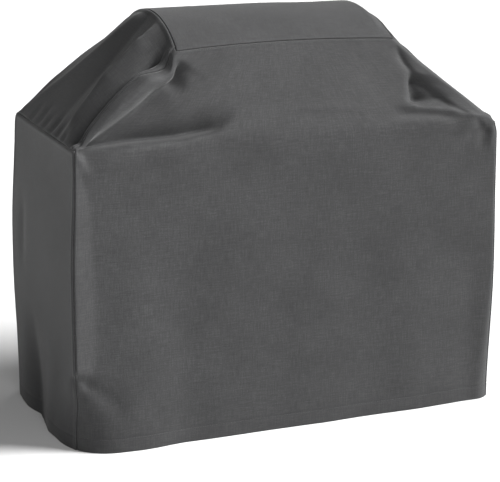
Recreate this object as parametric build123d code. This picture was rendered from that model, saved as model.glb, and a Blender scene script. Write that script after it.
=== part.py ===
from build123d import *
import math
import os

# Sewn cloth cover for a gas grill, opened out as it stands over one. Millimetres, +Z up, front is -Y.
# The origin is the middle of the mouth, at the level of the hem.

os.makedirs("parts", exist_ok=True)

# Driving dimensions of the cover
WIDTH = 1220.0
DEPTH = 535.0
HEIGHT = 1120.0
SHOULDER_HEIGHT = 814.0
LID_LENGTH = 618.0
LID_RADIUS = 311.0
LID_SEAM_REACH = 207.0  # from the middle to the top panel's front and back seams, along Y

# Cloth, hem and seam tape
CLOTH = 2.0
HEM_HEIGHT = 40.0
HEM_CLOTH = 1.5
TAPE = 0.8
TAPE_HALF_WIDTH = 12.0
TAPE_END_GAP = 18.0  # tapes stop this far short of the corners where three seams meet

# Hem straps and their side-release buckles, lying along Y inside each side panel
STRAP_LEVEL = 75.0
STRAP_WIDTH = 25.0
STRAP = 1.4
BUCKLE_STANDOFF = 12.0  # from the outside of the side panel to the middle of the buckle
PATCH_SIZE = 55.0
PATCH_MIDDLE = 212.5
SEWN_END = (192.0, 232.0)
BAR_RADIUS = 1.5
LOOP_INNER = 1.8
LOOP_OUTER = LOOP_INNER + STRAP
STRAP_TAIL = 130.0
FRONT_BEND = -60.0  # where each strap leaves the line of the buckle for the side panel, along Y
REAR_BEND = 90.0
REAR_FOLD_END = 70.0  # the rear strap is folded back and sewn to itself up to here
REAR_FOLD_START = 50.0

BUCKLE_HALF_WIDTH = 16.5
BUCKLE_HALF_THICK = 4.8
SOCKET_LENGTH = 36.0
CAVITY_DEPTH = 25.0
CAVITY_HALF_WIDTH = 13.5
CAVITY_HALF_THICK = 2.8
WINDOW = (13.5, 22.5)  # catch windows in the socket's edges, along Y
SOCKET_BODY = 28.0
SOCKET_BAR = 34.5
PLUG_BASE = 6.0
PLUG_GAP = 0.2  # between the plug's base and the socket's mouth
TONGUE_HALF_WIDTH = 3.0
BAR_SEAT = 1.0  # how far each bar stops inside the buckle's edges
PLUG_BAR = -11.0
PLUG_END_BARS = (-24.0, -20.0)
RAIL_INNER = 13.0
RAIL_HALF_THICK = 2.5
TONGUE_LENGTH = 20.0
ARM_OUTLINE = [(0.7, 6.2), (0.7, 9.4), (12.0, 12.0), (14.0, 12.4), (14.0, 15.9),
               (17.0, 15.9), (21.0, 12.6), (21.0, 9.6), (12.0, 8.4)]
ARM_HALF_THICK = 2.3

LABEL_SIZE = (40.0, 0.4, 55.0)
LABEL_X = 300.0

# Worked out from the driving dimensions
half_lid = LID_LENGTH / 2
lid_centre = HEIGHT - LID_RADIUS
seam_angle = math.asin(LID_SEAM_REACH / LID_RADIUS)


def solid_between(low, high):
    """Box from its lowest and highest corners, given in any order."""
    size = [abs(b - a) for a, b in zip(low, high)]
    middle = [(a + b) / 2 for a, b in zip(low, high)]
    return Pos(*middle) * Box(*size)


def flat_faced(outer, inner):
    """Closed solid between two outlines with the same number of points, with a flat face at each side."""
    faces = [Face(Wire.make_polygon(outer)), Face(Wire.make_polygon(inner))]
    for i in range(len(outer)):
        j = (i + 1) % len(outer)
        faces.append(Face(Wire.make_polygon([outer[i], outer[j], inner[j], inner[i]])))
    return Solid(Shell(faces))


def save(shape, node):
    """Write one node, as its closed solids only."""
    shape = Compound(shape.solids()) if len(shape.solids()) > 1 else shape.solids()[0]
    export_step(shape, f"parts/{node}.step")


def mirrored(shape):
    """The same piece on the right side."""
    return shape.mirror(Plane.YZ)


# ---------------------------------------------------------------- the cover's two surfaces

def lid_outline(inset, x, halves=(-1, 1)):
    """Outline across the hood at x, moved in by inset, for the front half, the back half or both."""
    depth = DEPTH / 2 - inset
    radius = LID_RADIUS - inset
    reach = radius * math.sin(seam_angle)
    seam_z = lid_centre + radius * math.cos(seam_angle)
    crown = (x, 0, lid_centre + radius)

    def flank(side):
        lean = radius * math.sin(seam_angle / 2)
        middle = (x, side * lean, lid_centre + radius * math.cos(seam_angle / 2))
        seam = (x, side * reach, seam_z)
        return [Line((x, side * depth, SHOULDER_HEIGHT), seam), ThreePointArc(seam, middle, crown)]

    edges = [edge for side in halves for edge in flank(side)]
    if len(halves) == 2:
        edges.append(Line((x, -depth, SHOULDER_HEIGHT), (x, depth, SHOULDER_HEIGHT)))
    else:
        edges.append(Line(crown, (x, 0, SHOULDER_HEIGHT)))
        edges.append(Line((x, 0, SHOULDER_HEIGHT), (x, halves[0] * depth, SHOULDER_HEIGHT)))
    return Wire([e.edge() for e in edges])


def hood(inset):
    """Everything above the shoulder: the rounded lid and the sloping ends stretched down to the shelves."""
    width = WIDTH / 2 - inset
    depth = DEPTH / 2 - inset
    crown = lid_centre + LID_RADIUS - inset
    solid = Solid.extrude(Face(lid_outline(inset, -half_lid)), Vector(LID_LENGTH, 0, 0))
    for side in (-1, 1):
        x = side * half_lid
        corner = {half: Vertex(side * width, half * depth, SHOULDER_HEIGHT) for half in (-1, 1)}
        for half in (-1, 1):
            solid = solid + Solid.make_loft([lid_outline(inset, x, (half,)), corner[half]], ruled=True)
        ridge = Wire.make_polygon([(x, 0, SHOULDER_HEIGHT), (x, 0, crown),
                                   (side * width, -depth, SHOULDER_HEIGHT)])
        solid = solid + Solid.make_loft([ridge, corner[1]], ruled=True)
    return solid


def lower_box(inset, low, high):
    """The upright part of the cover, moved in by inset."""
    half = (WIDTH / 2 - inset, DEPTH / 2 - inset)
    return solid_between((-half[0], -half[1], low), (half[0], half[1], high))


def upright_plate(inset, thickness, face, low, high):
    """One upright wall with mitred ends. face is 'front', 'back', 'left' or 'right'."""
    ends = []
    for step in (inset, inset + thickness):
        w, d = WIDTH / 2 - step, DEPTH / 2 - step
        ends.append({"front": [(-w, -d, low), (w, -d, low)], "back": [(w, d, low), (-w, d, low)],
                     "left": [(-w, d, low), (-w, -d, low)], "right": [(w, -d, low), (w, d, low)]}[face])
    outer, inner = ends
    plan = Face(Wire.make_polygon(outer + inner[::-1]))
    return Solid.extrude(plan, Vector(0, 0, high - low))


def face_wedge(half):
    """Space behind and in front of the sloping front or back face, up to the top seam and its two edges."""
    reach = 60.0
    top = lid_centre + LID_RADIUS * math.cos(seam_angle)
    rings = []
    for move in (-reach, reach):
        foot = Vector(-WIDTH / 2 + move, half * (DEPTH / 2 - move), SHOULDER_HEIGHT)
        edge = Vector(-half_lid, half * LID_SEAM_REACH, top)
        edge = edge - Vector(-WIDTH / 2, half * DEPTH / 2, SHOULDER_HEIGHT)
        slope = half * math.tan(seam_angle)
        rise = foot.Y - slope * (foot.Z - lid_centre)
        share = rise / (slope * edge.Z - edge.Y)
        head = foot + edge * share
        rings.append([(foot.X, foot.Y, foot.Z), (-foot.X, foot.Y, foot.Z),
                      (-head.X, head.Y, head.Z), (head.X, head.Y, head.Z)])
    return flat_faced(*rings)


# ---------------------------------------------------------------- the seven cloth panels

hood_cloth = hood(0) - hood(CLOTH)
wedges = {"front": face_wedge(-1), "back": face_wedge(1)}
panels = {}
for face in ("front", "back"):
    upper = hood_cloth & wedges[face]
    panels[f"{face}_panel"] = upper + upright_plate(0, CLOTH, face, 0, SHOULDER_HEIGHT)
for face in ("left", "right"):
    panels[f"{face}_side_panel"] = upright_plate(0, CLOTH, face, 0, SHOULDER_HEIGHT)

ends_cut = hood_cloth - wedges["front"] - wedges["back"]
middle = solid_between((-half_lid, -DEPTH, 0), (half_lid, DEPTH, 2 * HEIGHT))
panels["top_panel"] = ends_cut & middle
left_end = solid_between((-WIDTH, -DEPTH, 0), (-half_lid, DEPTH, 2 * HEIGHT))
panels["left_slope_panel"] = ends_cut & left_end
panels["right_slope_panel"] = mirrored(panels["left_slope_panel"])
for node, solid in panels.items():
    save(solid, node)

# ---------------------------------------------------------------- hems and inner seam tapes

for face in ("front", "back", "left", "right"):
    save(upright_plate(CLOTH, HEM_CLOTH, face, 0, HEM_HEIGHT), f"{face}_hem")

inner_width = WIDTH / 2 - CLOTH
inner_depth = DEPTH / 2 - CLOTH
inner_radius = LID_RADIUS - CLOTH
inner_reach = inner_radius * math.sin(seam_angle)
inner_seam_z = lid_centre + inner_radius * math.cos(seam_angle)
lower_lining = lower_box(CLOTH, HEM_HEIGHT, SHOULDER_HEIGHT)
lower_lining = lower_lining - lower_box(CLOTH + TAPE, HEM_HEIGHT, SHOULDER_HEIGHT)
lining = (hood(CLOTH) - hood(CLOTH + TAPE)) + lower_lining


def along(start, end):
    """Round bar along an inner seam, as wide as its tape."""
    start, end = Vector(start), Vector(end)
    path = end - start
    return Solid.make_cylinder(TAPE_HALF_WIDTH, path.length, Plane(origin=start, z_dir=path))


tape_spaces = {}
for name, half in (("front", -1), ("back", 1)):
    tape_spaces[f"{name}_left_corner_tape"] = along(
        (-inner_width, half * inner_depth, HEM_HEIGHT),
        (-inner_width, half * inner_depth, SHOULDER_HEIGHT - TAPE_END_GAP))
    seam_head = Vector(-half_lid, half * inner_reach, inner_seam_z)
    seam_foot = Vector(-inner_width, half * inner_depth, SHOULDER_HEIGHT)
    lead = (seam_head - seam_foot).normalized() * TAPE_END_GAP
    tape_spaces[f"{name}_left_slope_tape"] = along(seam_foot + lead, seam_head - lead)
    tape_spaces[f"{name}_lid_seam_tape"] = along(
        (-half_lid + TAPE_END_GAP, half * inner_reach, inner_seam_z),
        (half_lid - TAPE_END_GAP, half * inner_reach, inner_seam_z))
tape_spaces["left_shelf_tape"] = along(
    (-inner_width, -inner_depth + TAPE_END_GAP, SHOULDER_HEIGHT),
    (-inner_width, inner_depth - TAPE_END_GAP, SHOULDER_HEIGHT))
lid_end_reach = inner_reach - TAPE_END_GAP
tape_spaces["left_lid_end_tape"] = solid_between(
    (-half_lid - TAPE_HALF_WIDTH, -lid_end_reach, SHOULDER_HEIGHT + LID_RADIUS / 2),
    (-half_lid + TAPE_HALF_WIDTH, lid_end_reach, HEIGHT))
for node, space in tape_spaces.items():
    tape = lining & space
    save(tape, node)
    if "left" in node:
        save(mirrored(tape), node.replace("left", "right"))

# ---------------------------------------------------------------- hem straps and buckles, left side

side_x = -WIDTH / 2 + CLOTH
buckle_x = -WIDTH / 2 + BUCKLE_STANDOFF
patch_x = side_x + TAPE


def buckle_block(y_range, z_range, half_thick):
    """Block of the buckle, by its reach along Y, its reach across the strap and its half thickness."""
    return solid_between((buckle_x - half_thick, y_range[0], STRAP_LEVEL + z_range[0]),
                         (buckle_x + half_thick, y_range[1], STRAP_LEVEL + z_range[1]))


def cross_bar(y):
    """Round bar across the strap."""
    foot = Plane(origin=(buckle_x, y, STRAP_LEVEL - BUCKLE_HALF_WIDTH + BAR_SEAT), z_dir=(0, 0, 1))
    return Solid.make_cylinder(BAR_RADIUS, 2 * (BUCKLE_HALF_WIDTH - BAR_SEAT), foot)


def webbing(points):
    """Flat strap run: an outline seen from above, drawn out to the strap's width."""
    low = STRAP_LEVEL - STRAP_WIDTH / 2
    outline = Wire.make_polygon([(x, y, low) for x, y in points])
    return Solid.extrude(Face(outline), Vector(0, 0, STRAP_WIDTH))


def strap_loop(bar_y, toward):
    """Half turn of strap round a bar. toward is the side of the bar that it goes round, along Y."""
    base = Plane(origin=(buckle_x, bar_y, STRAP_LEVEL - STRAP_WIDTH / 2), z_dir=(0, 0, 1))
    ring = Solid.make_cylinder(LOOP_OUTER, STRAP_WIDTH, base)
    ring = ring - Solid.make_cylinder(LOOP_INNER, STRAP_WIDTH, base)
    reach = 2 * LOOP_OUTER * toward
    return ring & buckle_block((bar_y, bar_y + reach), (-STRAP_WIDTH, STRAP_WIDTH), 2 * LOOP_OUTER)


def strap_run(start_y, bend_y, end, sewn):
    """Strap from its loop, along the buckle, then over to the side panel, where it is sewn down."""
    near = (buckle_x - LOOP_INNER, buckle_x - LOOP_OUTER)
    far = (patch_x + STRAP, patch_x)
    return webbing([(near[0], start_y), (near[0], bend_y), (far[0], end), (far[0], sewn),
                    (far[1], sewn), (far[1], end), (near[1], bend_y), (near[1], start_y)])


# Front strap: from its sewn end, round the plug's bar and back as a loose tail
front_strap = strap_loop(PLUG_BAR, 1)
front_strap = front_strap + strap_run(PLUG_BAR, FRONT_BEND, -SEWN_END[0], -SEWN_END[1])
tail = [(buckle_x + LOOP_INNER, PLUG_BAR), (buckle_x + LOOP_INNER, PLUG_BAR - STRAP_TAIL),
        (buckle_x + LOOP_OUTER, PLUG_BAR - STRAP_TAIL), (buckle_x + LOOP_OUTER, PLUG_BAR)]
front_strap = front_strap + webbing(tail)

# Rear strap: from its sewn end, round the socket's bar and back a little way, where it is sewn to itself
rear_strap = strap_loop(SOCKET_BAR, -1)
rear_strap = rear_strap + strap_run(SOCKET_BAR, REAR_BEND, SEWN_END[0], SEWN_END[1])
folded = buckle_x - LOOP_INNER
rear_strap = rear_strap + webbing(
    [(buckle_x + LOOP_INNER, SOCKET_BAR), (folded, REAR_FOLD_START), (folded, REAR_FOLD_END),
     (folded + STRAP, REAR_FOLD_END), (folded + STRAP, REAR_FOLD_START),
     (buckle_x + LOOP_OUTER, SOCKET_BAR)])

# Socket: a flat box open towards the plug, with a catch window in each edge and a bar for the rear strap
edge = BUCKLE_HALF_WIDTH
socket = buckle_block((0, SOCKET_BODY), (-edge, edge), BUCKLE_HALF_THICK)
socket = socket - buckle_block((-1, CAVITY_DEPTH), (-CAVITY_HALF_WIDTH, CAVITY_HALF_WIDTH),
                               CAVITY_HALF_THICK)
socket = socket - buckle_block(WINDOW, (-2 * edge, 2 * edge), CAVITY_HALF_THICK)
for side in (-1, 1):
    rail = sorted((side * RAIL_INNER, side * edge))
    socket = socket + buckle_block((SOCKET_BODY, SOCKET_LENGTH), rail, RAIL_HALF_THICK)
socket = socket + cross_bar(SOCKET_BAR)

# Plug: a base with a guide tongue, and a frame with two bars that the front strap is threaded through
plug = buckle_block((-PLUG_BASE, -PLUG_GAP), (-edge, edge), BUCKLE_HALF_THICK)
tongue_width = (-TONGUE_HALF_WIDTH, TONGUE_HALF_WIDTH)
plug = plug + buckle_block((-PLUG_BASE, TONGUE_LENGTH), tongue_width, ARM_HALF_THICK)
for side in (-1, 1):
    rail = sorted((side * RAIL_INNER, side * edge))
    plug = plug + buckle_block((PLUG_END_BARS[0], -PLUG_BASE), rail, RAIL_HALF_THICK)
plug = plug + buckle_block(PLUG_END_BARS, (-edge, edge), BAR_RADIUS) + cross_bar(PLUG_BAR)


def spring_arm(side):
    """Arm of the plug with its catch, above (1) or below (-1) the strap's middle."""
    points = [(buckle_x - ARM_HALF_THICK, y, STRAP_LEVEL + side * z) for y, z in ARM_OUTLINE]
    arm = Solid.extrude(Face(Wire.make_polygon(points)), Vector(2 * ARM_HALF_THICK, 0, 0))
    return arm


def strap_patch(half):
    """Doubling cloth on the side panel, under a strap's sewn end."""
    reach = PATCH_SIZE / 2
    return solid_between((side_x, half * PATCH_MIDDLE - reach, STRAP_LEVEL - reach),
                         (patch_x, half * PATCH_MIDDLE + reach, STRAP_LEVEL + reach))


strap_set = {"front_strap": front_strap, "rear_strap": rear_strap, "buckle_socket": socket,
             "buckle_plug": plug, "buckle_upper_arm": spring_arm(1), "buckle_lower_arm": spring_arm(-1),
             "front_strap_patch": strap_patch(-1), "rear_strap_patch": strap_patch(1)}
for node, piece in strap_set.items():
    save(piece, f"left_{node}")
    save(mirrored(piece), f"right_{node}")

# ---------------------------------------------------------------- blank label in the back hem

label_low = (LABEL_X, inner_depth - LABEL_SIZE[1], HEM_HEIGHT)
save(solid_between(label_low, [a + b for a, b in zip(label_low, LABEL_SIZE)]), "care_label")
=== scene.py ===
import math

import bpy
import numpy as np
from mathutils import Matrix, Vector


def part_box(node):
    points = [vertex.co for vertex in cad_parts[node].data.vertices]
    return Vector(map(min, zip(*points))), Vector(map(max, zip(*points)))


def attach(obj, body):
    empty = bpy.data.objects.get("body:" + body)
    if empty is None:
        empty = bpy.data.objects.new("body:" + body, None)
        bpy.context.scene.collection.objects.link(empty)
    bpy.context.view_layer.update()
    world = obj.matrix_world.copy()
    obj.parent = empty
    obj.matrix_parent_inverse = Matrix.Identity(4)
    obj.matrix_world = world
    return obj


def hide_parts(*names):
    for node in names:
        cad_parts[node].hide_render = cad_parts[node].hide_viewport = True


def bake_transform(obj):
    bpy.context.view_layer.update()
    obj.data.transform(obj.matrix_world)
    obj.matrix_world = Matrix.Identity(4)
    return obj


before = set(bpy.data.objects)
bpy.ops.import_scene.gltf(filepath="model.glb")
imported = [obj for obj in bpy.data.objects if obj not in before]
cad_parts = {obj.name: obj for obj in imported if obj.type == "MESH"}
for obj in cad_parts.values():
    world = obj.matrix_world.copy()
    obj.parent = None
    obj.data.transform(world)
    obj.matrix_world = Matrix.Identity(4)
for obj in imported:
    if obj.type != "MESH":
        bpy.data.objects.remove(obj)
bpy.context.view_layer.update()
bpy.ops.object.select_all(action="DESELECT")

MM = 0.001
CLOSE = 1e-6  # metres within which two places are the same

# ---------------------------------------------------------------- sizes read from the frame

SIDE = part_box("left_side_panel")
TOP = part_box("top_panel")
HALF_WIDTH = -SIDE[0].x
HALF_DEPTH = SIDE[1].y
SHOULDER = SIDE[1].z
HALF_LID = TOP[1].x
SEAM_REACH = TOP[1].y
HEIGHT = TOP[1].z
SEAM_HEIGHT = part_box("front_panel")[1].z
HEM_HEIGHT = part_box("front_hem")[1].z
LID_RADIUS = (SEAM_REACH ** 2 + (HEIGHT - SEAM_HEIGHT) ** 2) / (2 * (HEIGHT - SEAM_HEIGHT))
LID_CENTRE = HEIGHT - LID_RADIUS
SEAM_ANGLE = math.asin(SEAM_REACH / LID_RADIUS)
SLOPE_LENGTH = math.dist((HALF_WIDTH, HALF_DEPTH, SHOULDER), (HALF_LID, SEAM_REACH, SEAM_HEIGHT))
LID_ARC = LID_RADIUS * SEAM_ANGLE


# ---------------------------------------------------------------- camera, lights and floor

WORLD = 0.17
KEY_FROM, KEY = (0.73, -0.36, 0.58), 9.6
SOFTBOX_AT, SOFTBOX_AIM, SOFTBOX = (-1.3, -2.1, 1.2), (0, 0, 0.8), 30
RIM_FROM, RIM = (0.62, 0.48, 0.58), 0.3


def aim_camera():
    """Camera low in front of the left corner, turned a little about its own line of sight."""
    azimuth, elevation, roll = (math.radians(angle) for angle in (-23.22, 15.72, 0.64))
    distance, lens = 5.0325, 129.05
    aim = Vector((-0.013, 0, 0.454))
    back = Vector((math.sin(azimuth) * math.cos(elevation), -math.cos(azimuth) * math.cos(elevation),
                   math.sin(elevation)))
    level = Vector((math.cos(azimuth), math.sin(azimuth), 0))
    upright = back.cross(level)
    right = math.cos(roll) * level + math.sin(roll) * upright
    up = math.cos(roll) * upright - math.sin(roll) * level
    data = bpy.data.cameras.new("camera")
    data.lens = lens
    camera = bpy.data.objects.new("camera", data)
    bpy.context.scene.collection.objects.link(camera)
    turn = Matrix((right, up, back)).transposed().to_4x4()
    camera.matrix_world = Matrix.Translation(aim + back * distance) @ turn
    data.clip_end = 100
    bpy.context.scene.camera = camera


def linear(hex_colour):
    """sRGB hex to the linear colour that a socket takes."""
    values = [int(hex_colour[i:i + 2], 16) / 255 for i in (1, 3, 5)]
    return [v / 12.92 if v <= 0.04045 else ((v + 0.055) / 1.055) ** 2.4 for v in values] + [1.0]


def add(tree, kind, sockets=None, **settings):
    """One shader node, with its settings, and its sockets set to a value or linked from another node."""
    made = tree.nodes.new(kind)
    for name, value in settings.items():
        setattr(made, name, value)
    for name, value in (sockets or {}).items():
        if isinstance(value, bpy.types.NodeSocket):
            tree.links.new(value, made.inputs[name])
        else:
            made.inputs[name].default_value = value
    return made


def add_light(name, kind, place, energy, aim=(0, 0, 0), **settings):
    """Light at a place, or a sun far out in that direction, that shines towards the aim."""
    data = bpy.data.lights.new(name, kind)
    data.energy = energy
    for setting, value in settings.items():
        setattr(data, setting, value)
    lamp = bpy.data.objects.new(name, data)
    bpy.context.scene.collection.objects.link(lamp)
    lamp.location = place
    lamp.rotation_mode = "QUATERNION"
    lamp.rotation_quaternion = (Vector(place) - Vector(aim)).to_track_quat("Z", "Y")


def light_studio():
    """Broad key from the right front, softbox at the left front, faint light from behind on the right."""
    scene = bpy.context.scene
    scene.view_settings.view_transform = "Standard"
    scene.view_settings.look = "None"
    world = bpy.data.worlds.new("studio")
    scene.world = world
    world.use_nodes = True
    background = world.node_tree.nodes["Background"]
    background.inputs["Color"].default_value = linear("#FFFFFF")
    background.inputs["Strength"].default_value = WORLD
    add_light("key", "SUN", KEY_FROM, KEY, angle=math.radians(28))
    add_light("softbox", "AREA", SOFTBOX_AT, SOFTBOX, SOFTBOX_AIM, shape="SQUARE", size=1.6)
    add_light("rim", "SUN", RIM_FROM, RIM, angle=math.radians(30))


def lay_floor():
    """Wide pale floor, half a millimetre below the hem."""
    bpy.ops.mesh.primitive_plane_add(size=60, location=(0, 0, -0.5 * MM))
    floor = bpy.context.active_object
    floor.name = "floor"
    bpy.ops.object.transform_apply(location=True)
    paint = bpy.data.materials.new("pale_floor")
    paint.use_nodes = True
    shader = paint.node_tree.nodes["Principled BSDF"]
    shader.inputs["Base Color"].default_value = linear("#CFCFCF")
    shader.inputs["Roughness"].default_value = 0.9
    shader.inputs["Specular IOR Level"].default_value = 0.1
    floor.data.materials.append(paint)
    floor.select_set(False)


aim_camera()
light_studio()
lay_floor()


# ---------------------------------------------------------------- materials

def new_material(name):
    """A material, its node tree and its shader."""
    material = bpy.data.materials.new(name)
    material.use_nodes = True
    return material, material.node_tree, material.node_tree.nodes["Principled BSDF"]


def sine_threads(tree, axis, pitch):
    """Height of parallel threads across one axis, from -1 between them to 1 on their crowns."""
    turns = add(tree, "ShaderNodeMath", {0: axis, 1: 2 * math.pi / pitch}, operation="MULTIPLY")
    return add(tree, "ShaderNodeMath", {0: turns.outputs[0]}, operation="SINE").outputs[0]


def polyester_oxford():
    """Coated 600-denier polyester oxford, woven: a dull charcoal cloth with an even grain of threads, thicker
    and thinner along their length. The real threads are 0.6 mm apart, too fine to show, so they are drawn
    2.4 mm apart, and the uneven ones as streaks 3 mm wide and 40 mm long both ways of the weave."""
    shade, light, dark = "#29292A", "#353636", "#202021"
    pitch, streak, run = 2.4 * MM, 3 * MM, 40 * MM
    grains, patches = 300.0, 7.0  # specks and faded patches in a metre
    material, tree, shader = new_material("polyester_oxford")
    uv = add(tree, "ShaderNodeUVMap", uv_map="cloth").outputs["UV"]
    axes = add(tree, "ShaderNodeSeparateXYZ", {"Vector": uv})
    warp = sine_threads(tree, axes.outputs["X"], pitch)
    weft = sine_threads(tree, axes.outputs["Y"], pitch)
    weave = add(tree, "ShaderNodeMath", {0: warp, 1: weft}, operation="MULTIPLY").outputs[0]
    slubs = []
    for stretch in ((1 / run, 1 / streak, 1), (1 / streak, 1 / run, 1)):
        place = add(tree, "ShaderNodeMapping", {"Vector": uv, "Scale": stretch})
        noise = add(tree, "ShaderNodeTexNoise", {"Vector": place.outputs["Vector"], "Scale": 1.0,
                                                 "Detail": 2.0, "Roughness": 0.6})
        slubs.append(noise.outputs["Fac"])
    slub = add(tree, "ShaderNodeMath", {0: slubs[0], 1: slubs[1]}, operation="ADD").outputs[0]
    grain = add(tree, "ShaderNodeTexNoise", {"Vector": uv, "Scale": grains, "Detail": 2.0,
                                             "Roughness": 0.6}).outputs["Fac"]
    mixed = add(tree, "ShaderNodeMath", {0: slub, 1: grain}, operation="ADD").outputs[0]
    tone = add(tree, "ShaderNodeMapRange", {"Value": mixed, "From Min": 1.1, "From Max": 1.9})
    ramp = add(tree, "ShaderNodeValToRGB", {"Fac": tone.outputs["Result"]})
    for stop, colour in zip(ramp.color_ramp.elements, (dark, light)):
        stop.color = linear(colour)
    ramp.color_ramp.elements.new(0.5).color = linear(shade)
    wear = add(tree, "ShaderNodeTexNoise", {"Vector": uv, "Scale": patches, "Detail": 3.0,
                                            "Roughness": 0.55})
    dust = add(tree, "ShaderNodeMapRange", {"Value": wear.outputs["Fac"], "From Min": 0.3, "From Max": 0.7})
    faded = add(tree, "ShaderNodeMix", {"Factor": dust.outputs["Result"], "A": linear("#DADADA"),
                                        "B": linear("#FFFFFF")}, data_type="RGBA")
    colour = add(tree, "ShaderNodeMix", {"Factor": 1.0, "A": ramp.outputs["Color"],
                                         "B": faded.outputs["Result"]},
                 data_type="RGBA", blend_type="MULTIPLY")
    tree.links.new(colour.outputs["Result"], shader.inputs["Base Color"])
    relief = add(tree, "ShaderNodeMath", {0: weave, 1: 0.5, 2: mixed}, operation="MULTIPLY_ADD")
    bump = add(tree, "ShaderNodeBump", {"Height": relief.outputs[0], "Strength": 0.35, "Distance": 0.5 * MM})
    tree.links.new(bump.outputs["Normal"], shader.inputs["Normal"])
    shader.inputs["Roughness"].default_value = 0.74
    shader.inputs["Specular IOR Level"].default_value = 0.3
    shader.inputs["Sheen Weight"].default_value = 0.1
    shader.inputs["Sheen Roughness"].default_value = 0.5
    return material


CLOTH = polyester_oxford()


# ---------------------------------------------------------------- the cover as one sewn sheet

def ease(value, low=0.0, high=1.0):
    """0 below low, 1 above high, and a smooth step between."""
    x = np.clip((np.asarray(value, float) - low) / (high - low), 0, 1)
    return x * x * (3 - 2 * x)


def mirrored_list(near, middle_steps):
    """Places from -1 to 1: the near list at each end, and even steps between."""
    near = np.array(near)
    inner = np.linspace(-1 + near[-1], 1 - near[-1], middle_steps + 1)
    return np.concatenate([-1 + near[:-1], inner, (1 - near[:-1])[::-1]])


# Distances from a sewn edge at which the sheet has lines of points: the sewn-down allowance lies in the
# first centimetre, between the second and the fourth line
SEAM_LINES = np.array([0, 1.5, 5, 9, 10.5, 16, 23, 31, 40]) * MM
# the same up a shoulder, where the first 28 mm are the band of front or back cloth
BAND_LINES = np.array([0, 7, 14, 21, 28, 29.5, 34, 38.5, 44]) * MM
# and from the ends of the front, back and top, which have finer folds
EDGE_LINES = np.array([0, 2, 6, 10, 14, 18, 22, 26, 30, 34, 38, 42, 47, 52, 58, 65, 73, 82, 92]) * MM
# heights of the lines in and just above the hem
HEM_LINES = np.array([0, 1.5, 8, 16, 24, 32, 36, 38, 40, 48]) * MM

ACROSS = mirrored_list(EDGE_LINES / HALF_WIDTH, 92)
SIDEWAYS = mirrored_list(SEAM_LINES / HALF_DEPTH, 46)
BAND_SHARE = mirrored_list(BAND_LINES / HALF_DEPTH, 46)
LID_SHARE = mirrored_list(SEAM_LINES / LID_ARC, 46)
LEVELS = np.concatenate([HEM_LINES, np.linspace(60 * MM, SHOULDER - 50 * MM, 72),
                         SHOULDER - SEAM_LINES[:-1][::-1]])
LID_LINES = 1 - SEAM_LINES[::-1] / SLOPE_LENGTH
UP_SLOPE = np.concatenate([np.linspace(0, LID_LINES[0], 50)[:-1], LID_LINES])


def point_grid(x, y, z):
    """Rows and columns of points from coordinates that are fixed or vary along either way."""
    x, y, z = np.broadcast_arrays(x, y, z)
    return np.stack([x, y, z], -1).astype(float)


def seam_angles():
    """Angle of the top seam round the lid: it arches a little higher in the middle than at its ends."""
    arch = 15 * MM
    return SEAM_ANGLE - arch / LID_RADIUS * (1 - ACROSS ** 2)


def round_lid(x, angle):
    """Points on the rounded lid at places along it, for angles from its top line."""
    return point_grid(x, LID_RADIUS * np.sin(angle), LID_CENTRE + LID_RADIUS * np.cos(angle))


def face_points(half):
    """Front (-1) or back (1) cloth: straight up to the shoulder, then leaning in to the top seam."""
    lower = point_grid(ACROSS[None] * HALF_WIDTH, half * HALF_DEPTH, LEVELS[:, None])
    foot = lower[-1]
    head = round_lid(ACROSS * HALF_LID, half * seam_angles())
    upper = np.stack([foot + (head - foot) * up for up in UP_SLOPE[1:]])
    return np.concatenate([lower, upper])


def side_points(side):
    """Left (-1) or right (1) cloth, straight up from the hem to the shelf's edge."""
    return point_grid(side * HALF_WIDTH, SIDEWAYS[None] * HALF_DEPTH, LEVELS[:, None])


def slope_points(side):
    """Shoulder cloth, stretched from the shelf's edge up to the rounded end of the lid."""
    rows = []
    for up in UP_SLOPE:
        at_lid = ease(up, 0.72, 1)
        share = SIDEWAYS + (BAND_SHARE - SIDEWAYS) * ease(up, 0, 0.16) * (1 - at_lid)
        share = share + (LID_SHARE - share) * at_lid
        foot = point_grid(side * HALF_WIDTH, share * HALF_DEPTH, SHOULDER)
        head = round_lid(side * HALF_LID, share * SEAM_ANGLE)
        rows.append(foot + (head - foot) * up)
    return np.stack(rows)


def top_points():
    """Cloth over the lid, from the front seam to the back one."""
    return round_lid(ACROSS[None] * HALF_LID, LID_SHARE[:, None] * seam_angles())


def flat_lengths(points, axis):
    """Distance along the cloth from the grid's first line, averaged so that the lines stay straight."""
    steps = np.linalg.norm(np.diff(points, axis=axis), axis=2)
    return np.concatenate([[0], np.cumsum(steps.mean(axis=1 - axis))])


BAND_COLUMNS = 4  # lines of the shoulder's grid that belong to the front or back cloth
grids = {"front_panel": face_points(-1), "back_panel": face_points(1), "top_panel": top_points()}
for name, side in (("left", -1), ("right", 1)):
    grids[f"{name}_side_panel"] = side_points(side)
    grids[f"{name}_slope_panel"] = slope_points(side)
OUTWARD = {"front_panel": (0, -1, 0), "back_panel": (0, 1, 0), "top_panel": (0, 0, 1),
           "left_side_panel": (-1, 0, 0), "right_side_panel": (1, 0, 0),
           "left_slope_panel": (-1, 0, 1), "right_slope_panel": (1, 0, 1)}


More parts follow.
